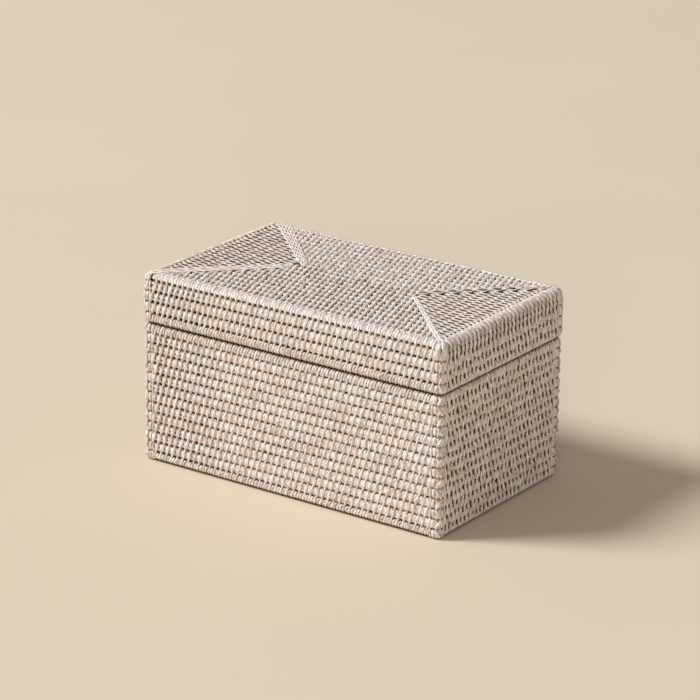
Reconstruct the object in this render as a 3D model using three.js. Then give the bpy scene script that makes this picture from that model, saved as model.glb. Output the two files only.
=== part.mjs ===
// Lidded box of coiled rattan: rods bent into rectangular hoops and bound to each other with
// split cane. The walls are hoops stacked on each other. The bottom and the lid's top are hoops
// set inside each other, mitred along the diagonals, with a straight spine rod in the middle.
// Each hoop is drawn over its cane binding. Millimetres, +Z up, +X along the length, front at -Y.
import * as THREE from "three";

// Overall sizes, over the weave
const boxLength = 305;
const boxDepth = 184;

// Rattan rod, the cane that binds it, and the line left between two hoops
const coreDiameter = 7.3;
const caneThickness = 0.8;
const hoopGap = 0.3;
const boundThickness = coreDiameter + 2 * caneThickness;

// Round shoulders of a bound rod, as shares of the thinner side of its section
const rodShoulderShares = [0.33, 0.33, 0.33, 0.33];
const rodShoulderSteps = 2;

// Corners: a hoop's outer face turns on this radius, and its inner face folds nearly sharp
const wallCornerRadius = 8;
const panelCornerRadius = 3.4;
const tightestBend = 0.4;
const wallCornerSteps = 3;
const panelCornerSteps = 2;

// Bottom and lid top: this many hoops inside each other share out the depth with their spine rod
const panelHoopCount = 9;

// Body
const wallHoopCount = 14;
const bottomRise = 1.2;

// Collar: a flat bent strip inside the rim, which the lid drops over
const collarThickness = 4;
const collarBelowRim = 12;
const collarAboveRim = 12;
const collarCornerRadius = 3;
const collarShoulderShares = [0.28, 0.28, 0.28, 0.28];
const collarShoulderSteps = 1;

// Lid: its skirt hoops lie a little looser than the wall's, and the edge hoop rolls onto the top
const lidHoopCount = 4;
const lidHoopSlack = 0.7;
const lidOverhang = 1;
const lidSeatGap = 0.4;
const edgeHoopHeight = 5.5;
const edgeHoopInset = 1.2;
const edgeShoulderShares = [0.2, 0.2, 0.78, 0.2];
const edgeShoulderSteps = 3;
const crownRise = 0.6;

const wallHoopPitch = boundThickness;
const rimHeight = wallHoopCount * wallHoopPitch - hoopGap;
const innerLength = boxLength - 2 * boundThickness;
const innerDepth = boxDepth - 2 * boundThickness;
const lidLength = boxLength + 2 * lidOverhang;
const lidDepth = boxDepth + 2 * lidOverhang;
const lidHoopPitch = boundThickness + lidHoopSlack;
const skirtHeight = lidHoopCount * lidHoopPitch;
const panelHeight = boundThickness - hoopGap;

const whitewashedRattan = { color: 0xcdc0b3, roughness: 0.78, metalness: 0 };
const bareRattan = { color: 0xb79b7c, roughness: 0.7, metalness: 0 };

// Section of a rod: a rectangle with round shoulders, anticlockwise from the inner low one.
// Its points are [inset from the outer face, height above the underside].
function rodSection(thickness, height, shoulderShares, steps) {
  const thinner = Math.min(thickness, height);
  const points = [];
  shoulderShares.forEach((share, shoulder) => {
    const radius = share * thinner;
    const inset = shoulder < 2 ? thickness - radius : radius;
    const up = shoulder === 0 || shoulder === 3 ? radius : height - radius;
    for (let step = 0; step <= steps; step++) {
      const angle = ((shoulder - 1 + step / steps) * Math.PI) / 2;
      points.push([inset + radius * Math.cos(angle), up + radius * Math.sin(angle)]);
    }
  });
  return points;
}

// Sweeps a section round a rectangle with round corners. Every section point runs on its own
// rectangle, inset from the outer one, so the corners stay clean however thick the rod is.
function sweptHoop(length, depth, outerRadius, cornerSteps, section) {
  const positions = [];
  for (let corner = 0; corner < 4; corner++) {
    const sideX = corner === 0 || corner === 3 ? 1 : -1;
    const sideY = corner < 2 ? 1 : -1;
    for (let step = 0; step <= cornerSteps; step++) {
      const angle = ((corner + step / cornerSteps) * Math.PI) / 2;
      for (const [inset, up] of section) {
        const radius = Math.max(outerRadius - inset, tightestBend);
        const centreX = sideX * (length / 2 - inset - radius);
        const centreY = sideY * (depth / 2 - inset - radius);
        positions.push(centreX + radius * Math.cos(angle), centreY + radius * Math.sin(angle), up);
      }
    }
  }
  const count = section.length;
  const stations = 4 * (cornerSteps + 1);
  const index = [];
  for (let station = 0; station < stations; station++) {
    const next = (station + 1) % stations;
    for (let point = 0; point < count; point++) {
      const after = (point + 1) % count;
      const near = station * count + point;
      const nearAfter = station * count + after;
      const far = next * count + point;
      const farAfter = next * count + after;
      index.push(near, farAfter, far);
      index.push(near, nearAfter, farAfter);
    }
  }
  const geometry = new THREE.BufferGeometry();
  geometry.setAttribute("position", new THREE.Float32BufferAttribute(positions, 3));
  geometry.setIndex(index);
  geometry.computeVertexNormals();
  return geometry;
}

// A straight bound rod along X, centred over the origin, with its ends eased.
function straightRod(length, thickness, height) {
  const outline = rodSection(thickness, height, rodShoulderShares, rodShoulderSteps);
  const shape = new THREE.Shape(
    outline.map(([across, up]) => new THREE.Vector2(across - thickness / 2, up)),
  );
  const endRound = (rodShoulderShares[0] * Math.min(thickness, height)) / 2;
  const geometry = new THREE.ExtrudeGeometry(shape, {
    depth: length - 2 * endRound,
    steps: 1,
    bevelEnabled: true,
    bevelThickness: endRound,
    bevelSize: endRound,
    bevelOffset: -endRound,
    bevelSegments: rodShoulderSteps,
  });
  geometry.translate(0, 0, endRound - length / 2);
  const alongX = new THREE.Vector3(1, 0, 0);
  const alongY = new THREE.Vector3(0, 1, 0);
  const alongZ = new THREE.Vector3(0, 0, 1);
  geometry.applyMatrix4(new THREE.Matrix4().makeBasis(alongY, alongZ, alongX));
  return geometry;
}

function namedMesh(name, geometry, finish, height) {
  const mesh = new THREE.Mesh(geometry, new THREE.MeshStandardMaterial(finish));
  mesh.name = name;
  mesh.position.z = height;
  return mesh;
}

function numbered(prefix, number) {
  return prefix + String(number).padStart(2, "0");
}

// Hoops stacked on each other from z = 0, numbered upwards.
function stackedHoops(prefix, count, pitch, length, depth) {
  const height = pitch - hoopGap;
  const section = rodSection(boundThickness, height, rodShoulderShares, rodShoulderSteps);
  const group = new THREE.Group();
  for (let hoop = 0; hoop < count; hoop++) {
    const geometry = sweptHoop(length, depth, wallCornerRadius, wallCornerSteps, section);
    const name = numbered(prefix, hoop + 1);
    group.add(namedMesh(name, geometry, whitewashedRattan, hoop * pitch));
  }
  return group;
}

// Hoops set inside each other within a frame, numbered inwards, with the spine rod in the middle.
function nestedPanel(prefix, spineName, frameLength, frameDepth) {
  const pitch = frameDepth / (2 * panelHoopCount + 1);
  const thickness = pitch - hoopGap;
  const section = rodSection(thickness, panelHeight, rodShoulderShares, rodShoulderSteps);
  const group = new THREE.Group();
  for (let hoop = 0; hoop < panelHoopCount; hoop++) {
    const inset = hoopGap + hoop * pitch;
    const length = frameLength - 2 * inset;
    const depth = frameDepth - 2 * inset;
    const geometry = sweptHoop(length, depth, panelCornerRadius, panelCornerSteps, section);
    group.add(namedMesh(numbered(prefix, hoop + 1), geometry, whitewashedRattan, 0));
  }
  const spineInset = hoopGap + panelHoopCount * pitch;
  const spineLength = frameLength - 2 * spineInset;
  const spineThickness = frameDepth - 2 * spineInset;
  const spine = straightRod(spineLength, spineThickness, panelHeight);
  group.add(namedMesh(spineName, spine, whitewashedRattan, 0));
  return group;
}

// The collar fits inside the wall, partly below the rim and partly above it.
function collar() {
  const height = collarBelowRim + collarAboveRim;
  const section = rodSection(collarThickness, height, collarShoulderShares, collarShoulderSteps);
  const length = innerLength - 2 * hoopGap;
  const depth = innerDepth - 2 * hoopGap;
  const geometry = sweptHoop(length, depth, collarCornerRadius, wallCornerSteps, section);
  return namedMesh("collar", geometry, bareRattan, rimHeight - collarBelowRim);
}

// The body stands on its lowest wall hoop, with the bottom panel held a little higher.
function body() {
  const group = new THREE.Group();
  const bottom = nestedPanel("bottom_hoop_", "bottom_spine", innerLength, innerDepth);
  bottom.position.z = bottomRise;
  group.add(stackedHoops("wall_hoop_", wallHoopCount, wallHoopPitch, boxLength, boxDepth));
  group.add(bottom);
  group.add(collar());
  return group;
}

// A thinner hoop on the lid's skirt, set back, with its outer shoulder rolled over.
function lidEdge() {
  const thickness = boundThickness - edgeHoopInset;
  const section = rodSection(thickness, edgeHoopHeight, edgeShoulderShares, edgeShoulderSteps);
  const length = lidLength - 2 * edgeHoopInset;
  const depth = lidDepth - 2 * edgeHoopInset;
  const geometry = sweptHoop(length, depth, wallCornerRadius, wallCornerSteps, section);
  return namedMesh("lid_edge_hoop", geometry, whitewashedRattan, skirtHeight);
}

// The lid sits on the rim. Its mitred top hangs inside the skirt and the edge hoop.
function lid() {
  const group = new THREE.Group();
  const topLength = lidLength - 2 * boundThickness;
  const topDepth = lidDepth - 2 * boundThickness;
  const top = nestedPanel("top_hoop_", "top_spine", topLength, topDepth);
  top.position.z = skirtHeight + edgeHoopHeight + crownRise - panelHeight;
  group.add(stackedHoops("lid_hoop_", lidHoopCount, lidHoopPitch, lidLength, lidDepth));
  group.add(lidEdge());
  group.add(top);
  group.position.z = rimHeight + lidSeatGap;
  return group;
}

const box = new THREE.Group();
box.add(body(), lid());

export default box;
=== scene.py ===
import bpy
import math
import numpy as np
from mathutils import Matrix, Vector


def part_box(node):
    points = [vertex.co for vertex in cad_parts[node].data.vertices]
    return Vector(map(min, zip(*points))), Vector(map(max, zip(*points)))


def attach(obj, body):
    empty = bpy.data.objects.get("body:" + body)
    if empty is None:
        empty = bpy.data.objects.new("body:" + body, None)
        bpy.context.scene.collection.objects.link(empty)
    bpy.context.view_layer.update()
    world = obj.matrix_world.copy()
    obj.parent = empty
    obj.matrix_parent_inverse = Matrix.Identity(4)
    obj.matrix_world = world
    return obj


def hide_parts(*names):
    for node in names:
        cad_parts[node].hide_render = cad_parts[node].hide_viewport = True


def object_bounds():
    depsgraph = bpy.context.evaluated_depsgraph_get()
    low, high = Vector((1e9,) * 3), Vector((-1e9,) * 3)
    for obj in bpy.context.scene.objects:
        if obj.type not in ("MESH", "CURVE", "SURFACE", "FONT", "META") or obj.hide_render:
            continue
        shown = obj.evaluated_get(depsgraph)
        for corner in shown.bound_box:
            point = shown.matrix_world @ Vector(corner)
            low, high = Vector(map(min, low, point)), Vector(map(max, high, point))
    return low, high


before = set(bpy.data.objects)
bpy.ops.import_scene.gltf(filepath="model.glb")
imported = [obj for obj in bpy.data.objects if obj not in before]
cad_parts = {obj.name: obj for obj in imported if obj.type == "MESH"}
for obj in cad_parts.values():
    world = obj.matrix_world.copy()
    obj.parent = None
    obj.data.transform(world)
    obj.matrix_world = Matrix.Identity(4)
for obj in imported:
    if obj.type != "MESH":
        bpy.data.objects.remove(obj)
cadLow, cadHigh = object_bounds()
mm = 0.001
print("frame loaded,", len(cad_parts), "nodes")

# Focal length and offset are in pixels of the frame, distance and target in metres
camera = {"focal": 3258.44, "azimuth": 35.08, "elevation": 20.15, "roll": 0.67,
          "distance": 2.7589, "target": (0.0, 0.0, 0.08133), "offset": (1.51, 26.93),
          "frame": 700, "sensor": 36, "farthest": 60}
lamps = {"key": {"way": (-0.70, -0.50, 0.86), "distance": 20.0, "size": 6.6, "level": 0.985,
                 "colour": (0.985, 0.99, 1.0)},
         "fill": {"way": (0.45, -0.85, 0.30), "distance": 16.0, "size": 5.3, "level": 0.19,
                  "colour": (1.0, 0.94, 0.91)}}
lampTarget = (0, 0, 0.08)
surroundings = {"colour": (1, 0.915, 0.86), "level": 0.345}


def addCamera(c):
    # Looks along azimuth and elevation at the target, turned about that line by the roll
    a, e, roll = (math.radians(c[k]) for k in ("azimuth", "elevation", "roll"))
    ahead = Vector((-math.sin(a) * math.cos(e), math.cos(a) * math.cos(e), -math.sin(e)))
    right = Vector((math.cos(a), math.sin(a), 0))
    up = right.cross(ahead)
    turnedRight = math.cos(roll) * right + math.sin(roll) * up
    turnedUp = math.cos(roll) * up - math.sin(roll) * right
    data = bpy.data.cameras.new("camera")
    data.sensor_width = c["sensor"]
    data.lens = c["focal"] * c["sensor"] / c["frame"]
    data.shift_x = -c["offset"][0] / c["frame"]
    data.shift_y = c["offset"][1] / c["frame"]
    data.clip_end = c["farthest"]
    thing = bpy.data.objects.new("camera", data)
    matrix = Matrix((turnedRight, turnedUp, -ahead)).transposed().to_4x4()
    matrix.translation = Vector(c["target"]) - ahead * c["distance"]
    thing.matrix_world = matrix
    bpy.context.scene.collection.objects.link(thing)
    bpy.context.scene.camera = thing


def addLamp(name, lamp):
    # A disk that faces the target. At level 1 a surface turned to it shows its written colour.
    data = bpy.data.lights.new(name, "AREA")
    data.shape = "DISK"
    data.size = lamp["size"]
    data.energy = lamp["level"] * math.pi ** 2 * lamp["distance"] ** 2
    data.color = lamp["colour"]
    thing = bpy.data.objects.new(name, data)
    way = Vector(lamp["way"]).normalized()
    thing.location = way * lamp["distance"] + Vector(lampTarget)
    thing.rotation_euler = way.to_track_quat("Z", "Y").to_euler()
    bpy.context.scene.collection.objects.link(thing)


def addSurroundings(s):
    # Even light from all round
    world = bpy.data.worlds.new("studio")
    bpy.context.scene.world = world
    world.use_nodes = True
    background = world.node_tree.nodes["Background"]
    background.inputs["Color"].default_value = (*s["colour"], 1)
    background.inputs["Strength"].default_value = s["level"]


addCamera(camera)
for name, lamp in lamps.items():
    addLamp(name, lamp)
addSurroundings(surroundings)
bpy.context.scene.view_settings.view_transform = "Standard"
print("camera and lamps placed")


class Value:
    # A node's output that takes part in sums and products
    def __init__(self, graph, socket):
        self.graph, self.socket = graph, socket

    def join(self, operation, first, second):
        return self.graph.add("ShaderNodeMath", {"operation": operation}, {0: first, 1: second})

    def __add__(self, other): return self.join("ADD", self, other)
    def __radd__(self, other): return self.join("ADD", other, self)
    def __sub__(self, other): return self.join("SUBTRACT", self, other)
    def __rsub__(self, other): return self.join("SUBTRACT", other, self)
    def __mul__(self, other): return self.join("MULTIPLY", self, other)
    def __rmul__(self, other): return self.join("MULTIPLY", other, self)
    def held(self): return self.join("MINIMUM", self.join("MAXIMUM", self, 0.0), 1.0)


class Graph:
    # A material with its Principled shader, and one way to add any other node
    def __init__(self, name):
        self.material = bpy.data.materials.new(name)
        self.material.use_nodes = True
        self.tree = self.material.node_tree
        self.shader = self.tree.nodes["Principled BSDF"]

    def plug(self, socket, value):
        if isinstance(value, Value):
            self.tree.links.new(value.socket, socket)
        elif isinstance(value, tuple) and len(socket.default_value) == 4:
            socket.default_value = (*value, 1)
        else:
            socket.default_value = value

    def add(self, kind, settings=None, inputs=None, out=0):
        node = self.tree.nodes.new(kind)
        for key, value in (settings or {}).items():
            setattr(node, key, value)
        for key, value in (inputs or {}).items():
            self.plug(node.inputs[key], value)
        return Value(self, node.outputs[out])

    def attribute(self, name):
        return self.add("ShaderNodeAttribute", {"attribute_name": name}, out="Fac")

    def mix(self, factor, first, second):
        return self.add("ShaderNodeMix", {"data_type": "RGBA"}, {0: factor, 6: first, 7: second},
                        out=2)

    def noise(self, place, stretch, detail=2.0, rough=0.5):
        settings = {"operation": "MULTIPLY"}
        stretched = self.add("ShaderNodeVectorMath", settings, {0: place, 1: stretch})
        inputs = {"Vector": stretched, "Scale": 1.0, "Detail": detail, "Roughness": rough}
        return self.add("ShaderNodeTexNoise", None, inputs, out="Fac")

    def step(self, value, start, end):
        inputs = {"Value": value, "From Min": start, "From Max": end}
        return self.add("ShaderNodeMapRange", {"interpolation_type": "SMOOTHSTEP"}, inputs)

    def rise(self, value, start, end, share):
        return self.step(value, start, end) * share

    def fall(self, value, start, end, share):
        return (1 - self.step(value, start, end)) * share

    def bump(self, height, strength, distance):
        return self.add("ShaderNodeBump", None,
                        {"Strength": strength, "Distance": distance, "Height": height})

    def finish(self, **sockets):
        for key, value in sockets.items():
            self.plug(self.shader.inputs[key.replace("_", " ")], value)
        return self.material


# Whitewashed cane and the rod under it. Stretches are per mm, across and along the strip. Three
# numbers are where a mask starts and ends and its full share. Roughness is a base and what the
# fibre adds, and bump is a strength and a height in metres.
# deep is painted shade for the holes and undersides; bare is bare cane, and also serves as painted
# shade on sunk parts
cane = {"chalk": (0.97, 0.95, 0.94), "cream": (0.83, 0.785, 0.755), "peach": (0.77, 0.63, 0.52),
        "grey": (0.58, 0.54, 0.54), "bare": (0.42, 0.30, 0.225), "deep": (0.085, 0.05, 0.034),
        "fibre": (1.1, 0.2, 1.0), "patch": (0.42, 0.14, 1.0),
        "warmStrips": (0.55, 1.0, 0.6), "greyStrips": (0.0, 0.35, 0.8),
        "warmPatches": (0.50, 0.70, 0.6), "palePatches": (0.34, 0.46, 0.6),
        "paleFibres": (0.38, 0.48, 0.75), "bareFibres": (0.47, 0.60, 0.78),
        "bareEdges": (0.10, 0.75, 0.8), "darkHoles": (0.6, 1.0, 0.9),
        "rough": (0.62, 0.2), "bump": (0.35, 0.00025)}
core = {"pit": (0.05, 0.03, 0.02), "rod": (0.17, 0.11, 0.075), "fibre": (1.2, 0.1, 1.0),
        "light": (0.35, 0.7), "rough": (0.8, 0.1), "bump": (0.3, 0.0002)}


def caneMaterial(c):
    # Paint whose tone goes by strip and patch, thin along the fibres and at the worn edges, where
    # bare cane shows. The same mask also darkens sunk fillers, with thinner wash and painted shade,
    # and darkens strip undersides and the holes with painted shade.
    g = Graph("whitewashedCane")
    tone, worn = g.attribute("tone"), g.attribute("worn")
    uv = g.add("ShaderNodeUVMap", {"uv_map": "UVMap"})
    fibre = g.noise(uv, c["fibre"], 3.0, 0.7)
    patch = g.noise(uv, c["patch"])
    paint = g.mix(g.rise(tone, *c["warmStrips"]), c["cream"], c["peach"])
    paint = g.mix(g.fall(tone, *c["greyStrips"]), paint, c["grey"])
    paint = g.mix(g.rise(patch, *c["warmPatches"]), paint, c["peach"])
    paint = g.mix(g.fall(patch, *c["palePatches"]), paint, c["chalk"])
    paint = g.mix(g.fall(fibre, *c["paleFibres"]), paint, c["chalk"])
    bareAndShade = (g.rise(fibre, *c["bareFibres"]) + g.rise(worn, *c["bareEdges"])).held()
    colour = g.mix(bareAndShade, paint, c["bare"])
    colour = g.mix(g.rise(worn, *c["darkHoles"]), colour, c["deep"])
    rough = c["rough"][0] + fibre * c["rough"][1]
    return g.finish(Base_Color=colour, Roughness=rough, Normal=g.bump(fibre, *c["bump"]))


def coreMaterial(c):
    # The rod under the cane: brown, darker in patches along its fibre
    g = Graph("rodCore")
    fibre = g.noise(g.add("ShaderNodeUVMap", {"uv_map": "UVMap"}), c["fibre"])
    colour = g.mix(g.step(fibre, *c["light"]), c["pit"], c["rod"])
    rough = c["rough"][0] + fibre * c["rough"][1]
    return g.finish(Base_Color=colour, Roughness=rough, Normal=g.bump(fibre, *c["bump"]))


# The collar's flat strip and the ground, whose stretches are per metre of the object
strip = {"pale": (0.66, 0.54, 0.40), "brown": (0.50, 0.36, 0.23), "stain": (0.36, 0.23, 0.13),
         "grain": (40.0, 40.0, 900.0), "cloud": (30.0, 30.0, 60.0), "light": (0.35, 0.7),
         "stains": (0.45, 0.7, 0.5), "rough": (0.5, 0.2), "bump": (0.3, 0.0003)}
ground = {"dark": (0.66, 0.575, 0.44), "light": (0.70, 0.61, 0.47), "cloud": (3.0, 3.0, 3.0),
          "rough": 0.9, "half": 9.0}


def stripMaterial(c):
    # Flat rattan strip, washed thinly, with its grain along the strip and stained in patches
    g = Graph("bareRattan")
    place = g.add("ShaderNodeTexCoord", out="Object")
    grain = g.noise(place, c["grain"], 3.0, 0.6)
    cloud = g.noise(place, c["cloud"])
    colour = g.mix(g.step(grain, *c["light"]), c["brown"], c["pale"])
    colour = g.mix(g.rise(cloud, *c["stains"]), colour, c["stain"])
    rough = c["rough"][0] + grain * c["rough"][1]
    return g.finish(Base_Color=colour, Roughness=rough, Normal=g.bump(grain, *c["bump"]))


def groundMaterial(c):
    # Plain pale beige that goes from the dark to the light colour in wide clouds
    g = Graph("paleFloor")
    cloud = g.noise(g.add("ShaderNodeTexCoord", out="Object"), c["cloud"], 1.0)
    return g.finish(Base_Color=g.mix(cloud, c["dark"], c["light"]), Roughness=c["rough"])


finishes = {"cane": caneMaterial(cane), "core": coreMaterial(core),
            "strip": stripMaterial(strip), "ground": groundMaterial(ground)}
print("materials made")


def makeMesh(name, parts, materials):
    # Joins parts into one mesh. A part holds points in mm, quads, uv, tone and worn as arrays, and
    # its material's number. worn is rubbed-bare wear and painted shade in one.
    offset = np.cumsum([0] + [len(p["points"]) for p in parts[:-1]])
    points = np.concatenate([p["points"] for p in parts]) * mm
    quads = np.concatenate([p["quads"] + o for p, o in zip(parts, offset)])
    mesh = bpy.data.meshes.new(name)
    mesh.vertices.add(len(points))
    mesh.vertices.foreach_set("co", points.astype(np.float32).ravel())
    mesh.loops.add(quads.size)
    mesh.loops.foreach_set("vertex_index", quads.astype(np.int32).ravel())
    mesh.polygons.add(len(quads))
    mesh.polygons.foreach_set("loop_start", np.arange(len(quads), dtype=np.int32) * 4)
    kinds = np.concatenate([np.full(len(p["quads"]), p["finish"], np.int32) for p in parts])
    mesh.polygons.foreach_set("material_index", kinds)
    mesh.polygons.foreach_set("use_smooth", np.ones(len(quads), bool))
    mesh.update(calc_edges=True)
    uv = np.concatenate([p["uv"] for p in parts])[quads.ravel()]
    mesh.uv_layers.new(name="UVMap").data.foreach_set("uv", uv.astype(np.float32).ravel())
    for key in ("tone", "worn"):
        values = np.concatenate([p[key] for p in parts]).astype(np.float32)
        mesh.attributes.new(key, "FLOAT", "POINT").data.foreach_set("value", values)
    for material in materials:
        mesh.materials.append(material)
    mesh.validate()
    thing = bpy.data.objects.new(name, mesh)
    bpy.context.scene.collection.objects.link(thing)
    return thing


def dress(node, parts, rides):
    # The woven piece that stands in a node's place
    thing = makeMesh(node + "_cane", parts, [finishes["cane"], finishes["core"]])
    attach(thing, rides)
    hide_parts(node)


def nodeBox(node):
    # Lowest and highest point of a node in mm
    low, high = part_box(node)
    return np.array(low) / mm, np.array(high) / mm


def numbered(p):
    # Names of the nodes of a wall's or panel's hoops
    return [p["prefix"] + f"{i + 1:02d}" for i in range(p["hoops"])]


def smooth(x):
    # Rises from 0 to 1 with level ends: three squares less two cubes
    x = np.clip(x, 0, 1)
    return x * x * (3 - 2 * x)


def runOf(path):
    # Length run along a path up to each of its points
    return np.cumsum(np.r_[0, np.linalg.norm(np.diff(path, axis=0), axis=1)])


def tubeQuads(stations, sides, order=(0, 1, 2, 3), closed=False):
    # Quads between the rings of a tube. The order of their corners says which way they face.
    near, i = np.arange(stations if closed else stations - 1)[:, None], np.arange(sides)
    far, after = (near + 1) % stations, (i + 1) % sides
    corners = (near * sides + i, near * sides + after, far * sides + after, far * sides + i)
    return np.stack([corners[k] for k in order], -1).reshape(-1, 4)


def capQuads(sides):
    # Quads that close a ring, all from its first point
    k = np.arange(1, sides - 2, 2)[:, None]
    return np.hstack([0 * k, k, k + 1, k + 2])


tightestBend = 0.4


def turned(side, along, out, up):
    # The front's own directions, turned by quarters onto the given side
    c, s = [(1, 0), (0, 1), (-1, 0), (0, -1)][side]
    along, out, up = np.broadcast_arrays(along, out, up)
    return np.stack([along * c + out * s, along * s - out * c, up], -1)


def onSide(outline, side, lateral, inset, up):
    # Along a side, then round the corner. Every inset runs on its own rectangle, whose corner
    # radius is the outer one less the inset. Side 0 is the front, then right, back and left.
    longHalf, outHalf = outline["half"] if side % 2 == 0 else outline["half"][::-1]
    radius = outline["radius"]
    bend = np.maximum(radius - inset, tightestBend)
    straight = longHalf - radius
    run = longHalf - inset - bend
    reach = np.abs(lateral)
    turn = np.maximum(reach - straight, 0) / radius
    along = np.minimum(reach, straight) / straight * run + bend * np.sin(turn)
    out = outHalf - inset - bend + bend * np.cos(turn)
    return turned(side, np.sign(lateral) * along, out, up)


def onPanel(outline, side, lateral, inset, up):
    # Flat panel: along the side and in from its edge, with no bend at the corners
    return turned(side, lateral, outline["half"][1 - side % 2] - inset, up)


# How a stitch ends: it goes over to the next rod, dives between the stitches beside it, wraps round
# the rim, or flows on beneath its neighbours
over, dive, wrap, flow = 0, 1, 2, 3

# A stitch of split cane: lengths in mm, widths as shares of half the pitch
stitch = {"rows": (-1, -0.88, -0.72, -0.46, -0.15, 0.16, 0.44, 0.68, 0.86, 1),
          "across": (-1, -0.60, 0, 0.72, 1), "drop": (1.6, 0.62, 0.05, 0.36, 1.9),
          "under": 2.3, "crown": 1.0, "fillerCrown": 0.3,           # profile
          "dip": 0.38, "square": (0.58, 0.58), "rim": 1.0, "short": (0.15, 0.15),
          "uneven": 0.15, "lower": 0.45, "clear": 0.0, "fillerSink": 0.75,   # bend over the rod
          "belly": 1.22, "plump": 1.14, "narrow": 0.60,             # widths of a two-rod stitch
          "bead": 1.74, "waist": 0.84, "filler": 1.25, "fillerEnd": 1.38,
          "rimBelly": 1.2, "rimFiller": 1.0, "rimEnd": 1.04, "rimSink": 0.15,
          "swell": 1.15, "tipStart": 0.78, "tipTaper": 0.35,
          "jitter": 0.12, "unevenWidth": 0.05, "unevenSink": 0.10, "grainShift": 60,
          "edge": (0.25, 0.7), "underside": 2.0, "dirtStart": 1.2, "dirtDepth": 2.6,
          "warm": 1.3, "veil": 0.25}                                # wear, painted shade and tone
# The sides' strong edge pair darkens the strips' edges: rubbed bare, with painted shade between the
# strips
slotted = {"edge": (0.9, 0.9), "warm": 1.0, "belly": 1.05, "plump": 0.97, "narrow": 0.50,
           "waist": 1.08, "short": (0.6, 1.9), "dip": 0.5, "square": (0.70, 0.85),
           "uneven": 0.8, "jitter": 0.32, "fillerEnd": 0.85}
ribbed = {**slotted, "veil": 0.4, "bead": 1.26, "filler": 1.1, "waist": 1.05, "fillerEnd": 1.05,
          "fillerSink": 1.2, "fillerCrown": 0.85, "jitter": 0.12}


def rodCurve(low, high, halfUp, halfOut, s, rows, rng):
    # A stitch over a rod, as distance along and depth. An end that goes over to the next rod sinks
    # by the dip as a smooth step. One that dives follows a quarter of a squarish ellipse and stops
    # short, unevenly. The upper half of a two-rod stitch lies lower than the plump half beside it.
    t = np.asarray(rows)[None, :]
    far = np.abs(t)
    end = np.where(t < 0, low[:, None], high[:, None])
    end = np.where(end == flow, over, end)
    uneven = rng.normal(0, s["uneven"], (2, len(low), 1))
    short = np.where(t < 0, s["short"][0] + uneven[0], s["short"][1] + uneven[1])
    short = short * (end == dive) + s["clear"] * (end == wrap)
    square = np.where(end == wrap, s["rim"], np.where(t < 0, s["square"][0], s["square"][1]))
    turn = far * math.pi / 2
    along = np.where(end == over, far * halfUp, np.sin(turn) ** square * (halfUp - short))
    bent = (1 - np.cos(turn) ** square) * halfOut
    depth = np.where(end == over, s["dip"] * smooth(far), bent)
    upper = ((high != over) & (low == over))[:, None]
    return np.sign(t) * along, depth + upper * s["lower"] * (1 - far), depth


def stitchMesh(section, lateral, half, place, outward, tone, offset, coarse=False, crown=1.0):
    # A closed strip. Its middle line runs in the rod's section, and its crowned profile drops
    # towards the edges along the section's normal, by the crown's share. A slanting strip keeps
    # its ends square to its own run. place turns lateral, inset and up into points.
    inset, up = section
    every = 2 if coarse else 1
    across, drop = np.array(stitch["across"][::every]), np.array(stitch["drop"][::every])
    crown = np.broadcast_to(crown, len(tone))[:, None, None]
    across, drop = np.append(across, 0.0), np.append(drop, 0.0) * crown
    drop = drop + stitch["under"] * (np.arange(len(across)) == len(across) - 1)
    goIn, goUp = np.gradient(inset, axis=1), np.gradient(up, axis=1)
    length = np.maximum(np.hypot(goIn, goUp), 1e-6)
    goIn, goUp = goIn / length, goUp / length
    normalIn, normalUp = -goUp * outward, goIn * outward
    skew = (np.gradient(lateral, axis=1) / length * half)[..., None] * across
    strips, rows, loop = inset.shape[0], inset.shape[1], len(across)
    pIn = inset[..., None] - normalIn[..., None] * drop - goIn[..., None] * skew
    pUp = up[..., None] - normalUp[..., None] * drop - goUp[..., None] * skew
    pSide = lateral[..., None] + half[..., None] * across
    points = place(pSide, pIn, pUp).reshape(-1, 3)
    steps = np.hypot(np.diff(inset), np.diff(up))
    travel = np.concatenate([np.zeros((strips, 1)), np.cumsum(steps, 1)], 1)
    grain = half[..., None] * across + offset[:, None, None]
    uv = np.stack([grain, travel[..., None] + 0 * pSide], -1)
    last, e = (rows - 1) * loop, loop - 1
    caps = [[3, 2, 1, 0], [last, last + 1, last + 2, last + 3]]
    if not coarse:
        caps = [[e, 4, 3, 2], [e, 2, 1, 0], [last, last + 1, last + 2, last + e],
                [last + 2, last + 3, last + 4, last + e]]
    template = np.concatenate([tubeQuads(rows, loop), caps])
    starts = np.arange(strips) * rows * loop
    quads = (template[None] + starts[:, None, None]).reshape(-1, 4)
    # Edges darken by the cube of the distance across, as rubbed-bare wear; the point under the
    # strip takes the underside share, painted shade beneath it
    edge = np.abs(across) ** 3
    edge[-1] = stitch["underside"]
    return {"points": points, "quads": quads[:, ::outward], "uv": uv.reshape(-1, 2), "finish": 0,
            "edge": edge, "tone": np.repeat(tone, rows * loop)}


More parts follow.
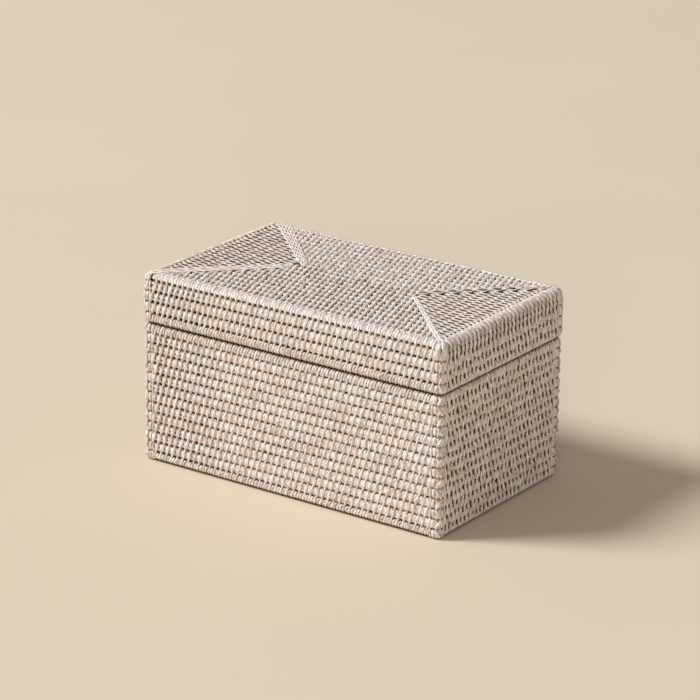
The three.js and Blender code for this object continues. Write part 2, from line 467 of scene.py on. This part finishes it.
def stitchRun(place, columns, low, high, lean, curve, rng, shape, outward=1, coarse=False,
              sink=0.0):
    # One stitch for every column of a hoop; columns hold its place and pitch at its low and high
    # end. A bead goes over at both ends and a filler at neither. A stitch that goes over at one
    # end is half of a two-rod stitch: its lower half is plump and its upper half narrows. The
    # width goes smoothly from the belly to each end's own.
    s = {**stitch, **shape}
    rows = np.array(s["rows"][::2] + s["rows"][-1:] if coarse else s["rows"])
    atLow, atHigh, pitchLow, pitchHigh = (np.asarray(c, float)[:, None] for c in columns)
    count = len(low)
    t = rows[None, :]
    far, share = np.abs(t), (t + 1) / 2
    bead, filler = (high == over) & (low == over), (high != over) & (low != over)
    lower, upper = (high == over) & (low != over), (high != over) & (low == over)
    rimmed = (low == wrap) | (high == wrap)
    shift = np.where(t < 0, np.where(lower, -lean, 0)[:, None], np.where(upper, lean, 0)[:, None])
    belly = np.where(bead, s["bead"], np.where(filler, s["filler"], s["belly"]))
    rimBelly = np.where(filler, s["rimFiller"], s["rimBelly"])
    belly = np.where(rimmed, rimBelly, belly)[:, None]
    endLow = np.where(low == over, s["waist"], np.where(filler, s["fillerEnd"], s["plump"]))
    endHigh = np.where(high == over, s["waist"], np.where(filler, s["fillerEnd"], s["narrow"]))
    endLow = np.where(low == wrap, s["rimEnd"], endLow)
    endHigh = np.where(high == wrap, s["rimEnd"], endHigh)
    end = np.where(t < 0, endLow[:, None], endHigh[:, None])
    wide = (pitchLow + (pitchHigh - pitchLow) * share) / 2
    wide = wide * (1 + s["unevenWidth"] * rng.standard_normal((count, 1)))
    half = wide * (belly + (end - belly) * smooth(far * s["swell"]))
    kind = np.where(t < 0, low[:, None], high[:, None])
    tip = np.clip((far - s["tipStart"]) / (1 - s["tipStart"]), 0, 1)
    half = half * np.where(kind == dive, 1 - s["tipTaper"] * tip ** 2, 1)
    lateral = atLow + (atHigh - atLow) * share
    lateral = lateral + rng.normal(0, s["jitter"], (count, 1)) + shift * far
    along, depth, deep = curve(low, high, s, rows, rng)
    deeper = np.where(filler, np.where(rimmed, s["rimSink"], s["fillerSink"]), 0.0)[:, None]
    sunk = sink + np.abs(rng.normal(0, s["unevenSink"], (count, 1)))
    sunk = sunk + deeper * np.where(kind == flow, 1, 1 - far ** 4)
    section = place["section"](along, depth + sunk)
    tone = rng.random(count) ** s["warm"]
    crown = np.where(filler & ~rimmed, s["fillerCrown"], s["crown"])
    part = stitchMesh(section, lateral, half, place["point"], outward, tone,
                      rng.random(count) * s["grainShift"], coarse, crown)
    # Painted shade: darker where the strip dives into a hole, and sunk fillers darkened by thinner
    # wash and painted shade. The edge pair scales the near and the far half of the edges: rubbed
    # bare, with painted shade on the darker half.
    paintedShade = (deep - s["dirtStart"]) / s["dirtDepth"] + s["veil"] * filler[:, None]
    edge = part.pop("edge")
    edge = edge * np.where(np.arange(len(edge)) < len(edge) // 2, *s["edge"])
    part["worn"] = np.clip(np.clip(paintedShade, 0, 1)[..., None] + edge, 0, 1).ravel()
    return part


coreSides = 12
cornerStops = (0.98, 0.5, 0)    # a core's rings round a corner, as shares of half its quarter turn


def tubeMesh(points, quads, girth, run):
    # Rings of points as a part with the core's finish
    uv = np.stack(np.broadcast_arrays(girth, run), -1)
    count = points[..., 0].size
    return {"points": points.reshape(-1, 3), "quads": quads, "uv": uv.reshape(-1, 2), "finish": 1,
            "tone": np.full(count, 0.5), "worn": np.ones(count)}


def coreMesh(outline, inset, up, thick, tall):
    # The rod itself: an ellipse carried round the hoop's rectangle
    ring = np.arange(coreSides) / coreSides * 2 * math.pi
    pIn, pUp = inset - np.cos(ring) * thick / 2, up + np.sin(ring) * tall / 2
    lines = []
    for side in range(4):
        straight = outline["half"][side % 2] - outline["radius"]
        bend = outline["radius"] * math.pi / 4 * np.array(cornerStops)
        stops = np.concatenate([-straight - bend, straight + bend[:0:-1]])
        lines.append(onSide(outline, side, stops[:, None], pIn[None, :], pUp[None, :]))
    points = np.concatenate(lines)
    return tubeMesh(points, tubeQuads(len(points), coreSides, (0, 3, 2, 1), closed=True),
                    ring * thick / 2, runOf(points[:, 0])[:, None])


# Walls: hoops stacked on each other. shade gives where the front grows shadier towards its left
# end, and over what length.
hoopRod = {"lean": 0.3, "radius": 8.0, "core": 6.3, "thick": 8.9, "shady": 0.8,
           "shade": (20, 130), "shadeShort": 0.25, "shadeSink": 0.7, "shadeVeil": 0.3}
body = {**hoopRod, "prefix": "wall_hoop_", "hoops": 14, "rides": "box", "columns": (98, 57),
        "drift": 0.0, "above": None, "tip": 0.0, "short": 0.15, "raise": 1.5, "clear": 1.3}
skirt = {**hoopRod, "prefix": "lid_hoop_", "hoops": 4, "rides": "lid", "columns": (103, 58),
         "drift": 0.7, "above": "lid_edge_hoop", "tip": 0.7, "short": 0.4, "raise": 0.5,
         "clear": 0.2}
cornerZone = 7.6

# Strips at a wall's corner: distance from the corner's middle at the low and high end, width,
# depth, how much the low and high end taper, and how much painted shade darkens the ends. A
# strand's depth is a share of the hoop's raise. edgeWear darkens the edges, rubbed bare, and the
# underside with painted shade.
corner = {"under": (0.0, 0.0, 8.6, 0.5, (0, 0), 0.9),
          "leftTongue": ((-4.9, -4.8, 4.8, 0.1, (0.62, 0.2), 0.3),       # even hoops
                         (-5.7, -5.6, 6.4, 0.1, (0.62, 0.2), 0.3)),      # odd hoops
          "rightTongue": ((4.5, 4.5, 5.2, 0.1, (0.62, 0.2), 0.3),
                          (3.9, 3.9, 5.2, 0.1, (0.62, 0.2), 0.3)),
          "leftBack": (-8.5, -8.4, 2.6, 0.5, (0.2, 0.2), 0),
          "rightBack": (7.6, 7.6, 2.4, 0.5, (0.2, 0.2), 0),
          "strands": ((-2.3, 2.3, 2.9, -1.0, (0.3, 0.3), 0.5),
                      (2.5, -2.5, 2.6, -0.35, (0.4, 0.4), 0.6)),
          "comeDown": 0.6, "edgeWear": 0.4}


def cornerEdge(outline, side):
    # Distance from a side's middle to the middle of the corner, along the outside
    return outline["half"][side % 2] - outline["radius"] + outline["radius"] * math.pi / 4


def fieldEnd(outline, side):
    # Distance from a side's middle to where its columns end and the corner's strips begin
    return cornerEdge(outline, side) - cornerZone


def lattice(count, pitch, shift, limit):
    # Numbered columns along a side, moved by the shift and kept within the limit
    number = np.arange(-4, count + 4)
    at = (number - (count - 1) / 2) * pitch + shift
    keep = np.abs(at) < limit - 0.3 * pitch
    return number[keep], at[keep]


def wallColumns(w, outline, side, row):
    # Front and back: beads run slantwise from waist to waist, one column further on every rod,
    # with fillers between. Sides: upright stitches in running bond, ribs on the lid's last rod.
    count, zone = w["columns"][side % 2], fieldEnd(outline, side)
    pitch = 2 * zone / count
    if side % 2:
        number, at = lattice(count, pitch, 0, zone)
        same = np.full(len(at), pitch)
        low = np.where((number + side + row - 1) % 2 == 0, over, dive)
        high = np.where((number + side + row) % 2 == 0, over, dive)
        if w["above"] and row == w["hoops"] - 1:
            high = np.where(low == over, over, flow)
        return (at, at, same, same), low, high
    number, at = lattice(count, pitch, w["drift"] * (row - (w["hoops"] - 1) / 2), zone)
    step = (pitch + w["drift"]) / 2
    same = np.full(len(at), pitch)
    kinds = np.where((number + side + row) % 2 == 0, over, dive)
    atLow, atHigh = np.clip(at - step, -zone, zone), np.clip(at + step, -zone, zone)
    return (atLow, atHigh, same, same), kinds, kinds


def cornerStrips(outline, side, section, curve, rng, strips):
    # Strips near a corner, each with the side that it is measured on (1 is the next one), the kinds
    # of its ends and its row of sizes. A raised one, with its depth below zero, comes down towards
    # its ends.
    rows = np.array(stitch["rows"])
    t, far = rows[None, :], np.abs(rows)[None, :]
    parts = []
    for turnOn, ends, (start, end, width, sink, tapers, shade) in strips:
        onto = (side + turnOn) % 4
        edge = cornerEdge(outline, onto) * (-1 if turnOn else 1)
        along, depth, deep = curve(*(np.array([e]) for e in ends), stitch, rows, rng)
        comeDown = corner["comeDown"] * far ** 2 if sink < 0 else 0
        inset, up = section(along, depth + sink * (1 - comeDown))
        lateral = edge + start + (end - start) * (t + 1) / 2
        half = width / 2 * (1 - np.where(t < 0, *tapers) * far ** 3) * np.ones_like(lateral)
        place = lambda a, b, c: onSide(outline, onto, a, b, c)
        part = stitchMesh((inset, up), lateral, half, place, 1, rng.random(1),
                          rng.random(1) * stitch["grainShift"])
        # Painted shade where the strip dives into a hole and towards its ends, with rubbed-bare
        # edges and painted shade beneath
        paintedShade = np.clip((deep - stitch["dirtStart"]) / stitch["dirtDepth"], 0, 1) + shade * far ** 5
        wear = corner["edgeWear"] * part.pop("edge")
        part["worn"] = np.clip(paintedShade[..., None] + wear, 0, 1).ravel()
        parts.append(part)
    return parts


def wallCorner(w, hoop, ends, corded):
    # A plain strip under the edge, broad tongues on either side of it, wide and slim in turn, and
    # two raised strands that cross over it on every rod. Cords take the strands' place where they
    # come down.
    shut = tuple(wrap if e == wrap else dive for e in ends)
    odd, way = hoop % 2, 1 if hoop % 2 else -1
    strips = [(0, ends, corner["under"]), (0, shut, corner["leftTongue"][odd]),
              (0, ends, corner["leftBack"]), (1, shut, corner["rightTongue"][odd]),
              (1, ends, corner["rightBack"])]
    strands = [(0, ends, (start * way, end * way, width, depth * w["raise"], tapers, shade))
               for start, end, width, depth, tapers, shade in corner["strands"]]
    return strips + ([] if corded else strands)


def buildWall(w):
    # A hoop's stitches run from halfway to the hoop below to halfway to the one above, on both
    # faces of each side, and strips go round its corners. The inner face has plain stitches.
    nodes = numbered(w)
    boxes = [nodeBox(n) for n in nodes]
    edges = [boxes[0][0][2]] + [(a[1][2] + b[0][2]) / 2 for a, b in zip(boxes[:-1], boxes[1:])]
    crest = boxes[-1][1][2]
    edges.append((crest + nodeBox(w["above"])[0][2]) / 2 if w["above"] else crest)
    outline = {"half": tuple(boxes[0][1][:2]), "radius": w["radius"]}
    thick = w["thick"]
    for hoop, node in enumerate(nodes):
        rng = np.random.default_rng(100 + hoop + 50 * (w["rides"] == "lid"))
        middle, halfUp = (edges[hoop] + edges[hoop + 1]) / 2, (edges[hoop + 1] - edges[hoop]) / 2
        lowest, last = hoop == 0, hoop == w["hoops"] - 1
        topmost, joined = last and not w["above"], last and bool(w["above"])
        tip = w["tip"] * last
        curve = lambda low, high, s, rows, rng: rodCurve(low, high, halfUp, thick / 2, s, rows, rng)
        outer = lambda along, depth: (depth + tip * smooth((along / halfUp + 1) / 2) ** 2,
                                      middle + along)
        inner = lambda along, depth: (thick - depth, middle + along)
        parts = [coreMesh(outline, thick / 2, middle, w["core"], w["core"])]
        for side in range(4):
            columns, low, high = wallColumns(w, outline, side, hoop)
            low = np.full(len(low), wrap) if lowest else low
            high = np.full(len(low), wrap) if topmost else high
            point = lambda a, b, c: onSide(outline, side, a, b, c)
            shady = w["shady"] * smooth((-columns[0] - w["shade"][0]) / w["shade"][1])
            short = w["short"] + w["shadeShort"] * shady[:, None]
            flat = {"short": (short, short),
                    "fillerSink": stitch["fillerSink"] + w["shadeSink"] * shady,
                    "veil": stitch["veil"] + w["shadeVeil"] * shady[:, None]}
            shape = {**(flat, ribbed if joined else slotted)[side % 2],
                     "clear": w["clear"] * lowest}
            parts.append(stitchRun({"section": outer, "point": point}, columns, low, high,
                                   w["lean"], curve, rng, shape))
            parts.append(stitchRun({"section": inner, "point": point}, columns, low, high,
                                   -w["lean"], curve, rng, {}, outward=-1, coarse=True))
            ends = (wrap if lowest else over, wrap if topmost else over)
            strips = wallCorner(w, hoop, ends, joined and side == 0)
            parts += cornerStrips(outline, side, outer, curve, rng, strips)
        dress(node, parts, w["rides"])
    print("wall of", w["rides"], "bound")
    return outline, edges


bodyOutline = buildWall(body)[0]
lidOutline, lidEdges = buildWall(skirt)

# Rolled edge of the lid. bend is the part of a stitch that rolls over, lowBend and highBend are the
# parts that dive at its ends. Corner strips give their distance from the corner, width and depth.
roll = {"node": "lid_edge_hoop", "columns": (103, 58), "start": 0.7, "crown": 8.4, "square": 0.96,
        "reach": 9.05, "below": 0.12, "dip": 0.4, "bend": 0.68, "lowBend": 0.14, "highBend": 0.12,
        "hole": 3.4, "lift": 0.5, "lip": 1.0, "back": 0.3,
        "core": (5.0, 3.8), "coreInset": 5.9, "coreDrop": 0.5,
        "outerStrips": (5.7, 4.4, 0.1), "innerStrips": (1.9, 4.2, 0.0), "taper": (0.1, 0.1)}
rollRows = {"rows": tuple(np.linspace(-1, 1, 13))}
rollLong = {**rollRows, "edge": (0.15, 0.6), "waist": 1.0, "bead": 1.30, "filler": 1.2,
            "fillerEnd": 1.25, "fillerSink": 0.4, "veil": 0.05, "warm": 1.0}
rollRight = {**ribbed, **rollRows}
rollLeft = {**ribbed, **rollRows, "bead": 0.92, "waist": 0.85, "filler": 0.85, "fillerEnd": 0.8,
            "fillerSink": 0.9}


def rollCurve(low, high, s, rows, rng):
    # From the skirt up and over onto the top: a quarter of a squarish ellipse, then a flat stretch
    # that sinks by the dip. A diving end bends in below its neighbours.
    q = (np.asarray(rows)[None, :] + 1) / 2
    foot, top = lidEdges[-1], cadHigh[2] / mm - roll["below"]
    turn = np.clip(q / roll["bend"], 0, 1) * math.pi / 2
    flat = np.clip((q - roll["bend"]) / (1 - roll["bend"]), 0, 1)
    rolled = (roll["crown"] - roll["start"]) * (1 - np.cos(turn) ** roll["square"])
    inset = roll["start"] + rolled + (roll["reach"] - roll["crown"]) * flat
    up = foot + (top - foot) * np.sin(turn) ** roll["square"] - roll["dip"] * smooth(flat)
    bendLow = np.clip(1 - q / roll["lowBend"], 0, 1) ** 1.5 * (low[:, None] == dive)
    bendHigh = np.clip((q - 1) / roll["highBend"] + 1, 0, 1) ** 1.5 * (high[:, None] == dive)
    # The low end sinks in by hole, and the same depth lays painted shade on it
    deep = bendLow * roll["hole"]
    return (up - bendHigh * roll["lip"] + bendLow * roll["lift"],
            inset + deep - bendHigh * roll["back"], deep)


def buildRoll(r):
    # The skirt's columns go on over the edge, with strips round the corners
    low, high = nodeBox(r["node"])
    rng = np.random.default_rng(300)
    parts = [coreMesh(lidOutline, r["coreInset"], (low[2] + high[2]) / 2 - r["coreDrop"],
                      *r["core"])]
    for side in range(4):
        count, zone, slant = r["columns"][side % 2], fieldEnd(lidOutline, side), 1 - side % 2
        pitch = 2 * zone / count
        number, at = lattice(count, pitch, slant * pitch / 2, zone)
        same = np.full(len(at), pitch)
        beads = (number + side + 3 * slant) % 2 == 0
        starts = np.where(beads, over, dive if slant else flow)
        finishKinds = np.where(beads, over, flow)
        shift = 2 * skirt["drift"] * slant
        columns = (np.clip(at + shift, -zone, zone), at, same, same)
        place = {"section": lambda up, inset: (inset, up),
                 "point": lambda a, b, c: onSide(lidOutline, side, a, b, c)}
        shape = (rollLong, rollRight, rollLong, rollLeft)[side]
        parts.append(stitchRun(place, columns, starts, finishKinds, 0, rollCurve, rng, shape))
        pairs = (r["outerStrips"], r["innerStrips"]) if side else (r["outerStrips"],)
        strips = [(turnOn, (over, over), (way * away, way * away, width, depth, r["taper"], 0))
                  for away, width, depth in pairs for turnOn, way in ((0, -1), (1, 1))]
        parts += cornerStrips(lidOutline, side, place["section"], rollCurve, rng, strips)
    dress(r["node"], parts, "lid")
    print("edge rolled")


buildRoll(roll)

# Panels: hoops inside each other, mitred, round a spine rod. bare is how far the long and short
# sides stop before a corner, fan what the back leaves to the cords at its outer and inner hoop,
# past how far the left side goes on, and gather how stitches crowd at an inner corner: spacing,
# gap and width.
panel = {"lean": 0.5, "hoops": 9, "radius": 3.4, "core": (6.2, 5.4), "gather": (0.5, 0.2, 0.9)}
top = {**panel, "prefix": "top_hoop_", "spine": "top_spine", "rides": "lid", "columns": (103, 58),
       "outline": lidOutline, "coarse": (False, True), "sink": 0.35, "bare": (5.4, 8.0),
       "fan": (21.0, 6.0), "past": 6.0}
bottom = {**panel, "prefix": "bottom_hoop_", "spine": "bottom_spine", "rides": "box",
          "columns": (98, 57), "outline": bodyOutline, "coarse": (True, True), "sink": 0.0,
          "bare": (0.0, 0.0), "fan": (0.0, 0.0), "past": 0.0}
# Edge pairs darken the near and the far half of a strip's edges: rubbed bare, with painted shade on
# the darker half
flatLong = {"edge": (0.0, 0.2), "warm": 0.8, "veil": 0.0, "waist": 1.42, "bead": 1.46,
            "filler": 0.9, "fillerEnd": 0.74, "fillerSink": 0.85, "fillerCrown": 0.8,
            "crown": 0.9, "short": (2.0, 2.0), "dip": 0.3, "uneven": 0.6, "jitter": 0.24}
flatRight = {"edge": (1.35, 0.0), "warm": 0.8, "veil": 0.0, "waist": 0.82, "plump": 0.80,
             "narrow": 0.66, "belly": 1.05, "crown": 0.6, "short": (2.7, 2.7), "dip": 0.3,
             "square": (0.85, 0.85), "uneven": 0.4, "lower": 0.1}
flatLeft = {**flatRight, "edge": (0.0, 0.85)}
halfGap = 0.15

# Spine rod under its cane: how far it stays inside its box, and where and how it rounds to poles
spine = {"endGap": 0.6, "sideGap": 0.8, "girth": 4, "run": (-1, -0.995, -0.98, -0.94),
         "scale": (0.05, 0.5, 0.85, 1)}


def panelColumns(p, side, inner, outer, row):
    # The wall's lattice as far as the hoop's corners. Stitches that would end beyond the inner
    # corner are gathered at it. Front and back: slantwise beads and fillers as on the walls.
    count = p["columns"][side % 2]
    pitch = 2 * fieldEnd(p["outline"], side) / count
    slant = 1 - side % 2
    spacing, gap, narrow = p["gather"]
    number, at = lattice(count, pitch, slant * pitch / 2, outer + p["past"] * (side == 3))
    keep = (at if side % 2 else -at) < outer - p["bare"][side % 2]
    if side == 2:
        keep &= at < outer - p["fan"][0] + p["fan"][1] * row / p["hoops"]
    number, at = number[keep], at[keep]
    goal = at - slant * pitch
    same = np.full(len(at), pitch)
    atHigh, pitchHigh = goal.copy(), same.copy()
    goesOn = side == 3 and p["past"] > 0
    for way in (1,) if goesOn else (-1, 1):
        past = np.flatnonzero(way * goal > inner - 0.5 * pitch)[::way]
        bare = p["bare"][side % 2] / 2 if (way > 0) == (side % 2 == 1) else gap
        atHigh[past] = way * (inner - bare - spacing * np.arange(len(past))[::-1])
        pitchHigh[past] = narrow
    if slant:
        kinds = np.where((number + side + row + 3) % 2 == 0, over, dive)
        return (at, atHigh, same, pitchHigh), kinds, kinds
    low = np.where((number + side + row) % 2 == 0, over, dive)
    high = np.where((number + side + row + 1) % 2 == 0, over, dive)
    return (at, atHigh, same, pitchHigh), low, high


def spineCore(low, high, tall):
    # A straight rod with rounded ends: an ellipse carried along X, shrunk towards its poles
    ring = np.arange(coreSides) / coreSides * 2 * math.pi
    reach = (high[0] - low[0]) / 2 - spine["endGap"]
    wide = (high[1] - low[1]) / 2 - spine["sideGap"]
    run, scale = np.array(spine["run"]), np.array(spine["scale"])
    run, scale = np.r_[run, -run[::-1]], np.r_[scale, scale[::-1]][:, None]
    x = np.repeat(run[:, None] * reach, coreSides, 1)
    z = (low[2] + high[2]) / 2 + np.sin(ring) * tall / 2 * scale
    points = np.stack([x, -np.cos(ring) * wide * scale, z], -1)
    cap = capQuads(coreSides)
    quads = np.concatenate([tubeQuads(len(run), coreSides, (1, 2, 3, 0)), cap[:, ::-1],
                            cap + (len(run) - 1) * coreSides])
    return tubeMesh(points, quads, ring * spine["girth"], x)


def buildSpine(p, low, high):
    # The rod in a panel's middle, bound across from edge to edge on both faces
    rng = np.random.default_rng(480 + (p["rides"] == "lid"))
    outline = {"half": (high[0], high[1])}
    wide, tall = high[1] - low[1] + 2 * halfGap, high[2] - low[2]
    count = p["columns"][0]
    pitch = 2 * fieldEnd(p["outline"], 0) / count
    number, at = lattice(count, pitch, pitch / 2, high[0])
    same = np.full(len(at), pitch)
    kinds = np.where((number + p["hoops"] + 3) % 2 == 0, over, dive)
    columns = (at, at - pitch * (count % 2), same, same)
    curve = lambda a, b, s, rows, rng: rodCurve(a, b, wide / 2, tall / 2, s, rows, rng)
    above = lambda along, depth: (wide / 2 - halfGap + along, high[2] - depth)
    below = lambda along, depth: (wide / 2 - halfGap + along, low[2] + depth)
    point = lambda a, b, c: onPanel(outline, 0, a, b, c)
    parts = [spineCore(low, high, p["core"][1])]
    for section, outward, coarse in zip((above, below), (1, -1), p["coarse"]):
        parts.append(stitchRun({"section": section, "point": point}, columns, kinds, kinds, 0,
                               curve, rng, flatLong, outward, coarse, p["sink"]))
    dress(p["spine"], parts, p["rides"])


def buildPanel(p):
    # Each hoop's stitches run inwards over its rod, on the upper and the lower face of each side
    nodes = numbered(p)
    boxes = [nodeBox(n) for n in nodes + [p["spine"]]]
    for row, node in enumerate(nodes):
        rng = np.random.default_rng(400 + row + 50 * (p["rides"] == "lid"))
        low, high = boxes[row]
        pitch = high[1] - boxes[row + 1][1][1]
        tall, middle = high[2] - low[2], pitch / 2 - halfGap
        outline = {"half": (high[0], high[1]), "radius": p["radius"]}
        parts = [coreMesh(outline, middle, (low[2] + high[2]) / 2, *p["core"])]
        curve = lambda a, b, s, rows, rng: rodCurve(a, b, pitch / 2, tall / 2, s, rows, rng)
        above = lambda along, depth: (middle + along, high[2] - depth)
        below = lambda along, depth: (middle + along, low[2] + depth)
        for side in range(4):
            outer = high[side % 2] + halfGap
            columns, starts, ends = panelColumns(p, side, outer - pitch, outer, row)
            if row == p["hoops"] - 1 and side % 2:
                ends = np.full(len(ends), wrap)
            point = lambda a, b, c: onPanel(outline, side, a, b, c)
            shape = (flatLong, flatRight, flatLong, flatLeft)[side]
            parts.append(stitchRun({"section": above, "point": point}, columns, starts, ends,
                                   p["lean"], curve, rng, shape, 1, p["coarse"][0], p["sink"]))
            parts.append(stitchRun({"section": below, "point": point}, columns, starts, ends,
                                   -p["lean"], curve, rng, shape, -1, p["coarse"][1]))
        dress(node, parts, p["rides"])
    buildSpine(p, *boxes[-1])
    print("panel of", p["rides"], "bound")


buildPanel(top)
buildPanel(bottom)

# Cords along the lid's mitres. Offsets lie aside of the corner's line, shrink to the apex share at
# the apex and are all moved by the shift. A wave above 1 is a lacing. The cords keep a margin from
# the lid's edge, tuck in at their end, reach down to a height, and part and widen below the roll.
cord = {"shift": 0.0, "margin": -1.0, "tuck": 0.0, "part": (0, 0), "widen": 0,
        "sides": 8, "step": 1.0, "apexInset": 1.5, "apexSink": (1.6, 0.8, 0.2), "lift": 0.3,
        "flare": 2.2, "tuckShares": (0.1, 0.4, 1.0, 1.8), "lacePitch": 8.853, "laceStart": 1.5,
        "wavePitch": 11, "uneven": (0.92, 1.05), "endScale": 0.35, "wear": (0.65, 0.5)}
mitres = [{**cord, "corner": (1, -1), "offsets": (-1.2, 1.2), "apex": 0.75, "wave": 0.35,
           "wide": 2.2, "tall": 1.8, "down": 153.6, "part": (1.62, 1.2), "widen": 0.75,
           "tone": (0.3, 0.6)},
          {**cord, "corner": (-1, 1), "offsets": (-5.4, -2.7, 0.01, 2.7, 5.4), "apex": 0.5,
           "shift": 8.8, "wave": 0.45, "wide": 2.8, "tall": 1.3, "margin": 4.5, "tuck": 1.0,
           "down": 165.5, "tone": (0.5, 1.0)},
          {**cord, "corner": (1, 1), "offsets": (-4.2, 4.2), "apex": 1.0, "wave": 3.3,
           "wide": 2.2, "tall": 0.9, "down": 167.0, "tone": (0.2, 0.7)},
          {**cord, "corner": (-1, -1), "offsets": (-3.4, 0.01, 3.4), "apex": 1.0, "wave": 0.6,
           "wide": 3.3, "tall": 1.0, "margin": 2.2, "tuck": 0.6, "down": 166.5,
           "tone": (0.4, 0.9)}]


def cordMesh(path, aside, wide, tall, tone, shift):
    # An elliptic cord, slimmer and closed at both ends. Its rings stand across the path: aside is
    # the flat direction and the other one is square to it and to the path.
    sides, count = cord["sides"], len(path)
    ahead = np.gradient(path, axis=0)
    ahead /= np.linalg.norm(ahead, axis=1)[:, None]
    above = np.cross(aside, ahead)
    above /= np.linalg.norm(above, axis=1)[:, None]
    ring = (np.arange(sides) + 0.5) / sides * 2 * math.pi
    fromEnd = np.minimum(np.arange(count), np.arange(count)[::-1]) / 2
    ends = np.minimum(1, cord["endScale"] + (1 - cord["endScale"]) * fromEnd)[:, None, None]
    flat = np.cos(ring)[None, :, None] * aside * wide[:, None, None] / 2
    points = path[:, None] + (flat + np.sin(ring)[None, :, None] * above[:, None] * tall / 2) * ends
    cap = capQuads(sides)
    quads = np.concatenate([tubeQuads(count, sides), cap[:, [0, 3, 2, 1]],
                            (count - 1) * sides + cap[:, [1, 2, 3, 0]]])
    girth = np.cos(ring)[None] * wide[:, None] / 2 + shift
    uv = np.stack(np.broadcast_arrays(girth, runOf(path)[:, None]), -1)
    # Painted shade on the cord's lower side, none on its top
    worn = np.clip(cord["wear"][0] - np.sin(ring), 0, 1) * cord["wear"][1]
    return {"points": points.reshape(-1, 3), "quads": quads, "uv": uv.reshape(-1, 2), "finish": 0,
            "tone": np.full(count * sides, tone), "worn": np.tile(worn, count)}


def mitreLine(m, apex):
    # The middle line of a mitre's cords at the front right corner, and the number of its points on
    # the flat: from the apex along the diagonal, a quarter of an ellipse over the rolled edge, and
    # down the skirt, where it flares out
    crest, foot, half = cadHigh[2] / mm, lidEdges[-1], m["tall"] / 2
    flat = np.arange(apex, roll["crown"], -m["step"])
    turn = np.linspace(0, math.pi / 2, 9)[1:]
    inset = np.r_[flat, roll["crown"] - (roll["crown"] - half - m["lift"]) * np.sin(turn)]
    up = np.r_[np.full(len(flat), crest - half), foot + (crest - half - foot) * np.cos(turn)]
    if m["down"] < foot:
        up = np.r_[up, np.linspace(foot, m["down"], 8)[1:]]
        inset = np.r_[inset, half + m["lift"] + m["flare"] * np.linspace(0, 1, 8)[1:] ** 5]
    keep = up > m["down"] - 0.01
    inset, up = inset[keep], up[keep]
    up[:3] -= np.array(m["apexSink"])
    lateral = np.full(len(up), cornerEdge(lidOutline, 0))
    return onSide(lidOutline, 0, lateral, inset, up), len(flat)


def buildMitre(number, m):
    # Cords beside each other along the mitre. They wave, or cross each other as a lacing does, and
    # lean back where they come down round the corner.
    rng = np.random.default_rng(600 + number)
    apex = lidOutline["half"][1] - m["apexInset"]
    line, flatCount = mitreLine(m, apex)
    x, y = m["corner"]
    line = line * (x, -y, 1)
    aside, outward = np.array([1, -x * y, 0]) / math.sqrt(2), np.array([x, y, 0]) / math.sqrt(2)
    run = runOf(line)
    share = np.clip(run / (apex * math.sqrt(2)), 0, 1)
    fall = np.clip((run - run[flatCount]) / (run[-1] - run[flatCount]), 0, 1)
    fromEdge = np.array(lidOutline["half"]) - np.abs((line + aside * m["shift"])[:, :2])
    keep = fromEdge.min(1) > m["margin"]
    line, run, share, fall = (a[keep] for a in (line, run, share, fall))
    line[-4:, 2] -= m["tuck"] * np.array(m["tuckShares"])
    upright = np.cross(aside, np.gradient(line, axis=0)[5])[2]
    flatWay = aside * np.sign(upright or 1)
    laced, fanned = m["wave"] > 1, len(m["offsets"]) > 2
    parts = []
    for index, offset in enumerate(m["offsets"]):
        way, spread = np.sign(offset), m["apex"] + (1 - m["apex"]) * share
        away = m["shift"] + offset * spread + way * m["part"][int(offset > 0)] * smooth(fall * 1.6)
        if laced:
            beat = np.sin(math.pi * (run - m["laceStart"]) / (m["lacePitch"] * math.sqrt(2))) ** 2
            away = away + way * m["wave"] * (beat - 1)
        else:
            away = away + m["wave"] * np.sin(run * 2 * math.pi / m["wavePitch"] + index * 2)
        slim = m["wide"] * rng.uniform(*m["uneven"]) * (1 + m["widen"] * np.sin(math.pi * fall))
        slim = slim * (spread if fanned else 1)
        back = away ** 2 * (fall > 0) / 2 / lidOutline["radius"]
        path = line + aside * away[:, None] - outward * back[:, None]
        tone = rng.uniform(*m["tone"])
        parts.append(cordMesh(path, flatWay, slim, m["tall"], tone,
                              rng.random() * stitch["grainShift"]))
    thing = makeMesh(f"mitre_cord_{number + 1}", parts, [finishes["cane"]])
    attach(thing, "lid")


for number, mitre in enumerate(mitres):
    buildMitre(number, mitre)
print("mitres corded")


def addFloor(g):
    # One wide square under the box
    s = g["half"]
    mesh = bpy.data.meshes.new("floor")
    mesh.from_pydata([(-s, -s, 0), (s, -s, 0), (s, s, 0), (-s, s, 0)], [], [(0, 1, 2, 3)])
    mesh.materials.append(finishes["ground"])
    thing = bpy.data.objects.new("floor", mesh)
    bpy.context.scene.collection.objects.link(thing)


addFloor(ground)
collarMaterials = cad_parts["collar"].data.materials
collarMaterials.clear()
collarMaterials.append(finishes["strip"])
print("collar finished and floor laid")
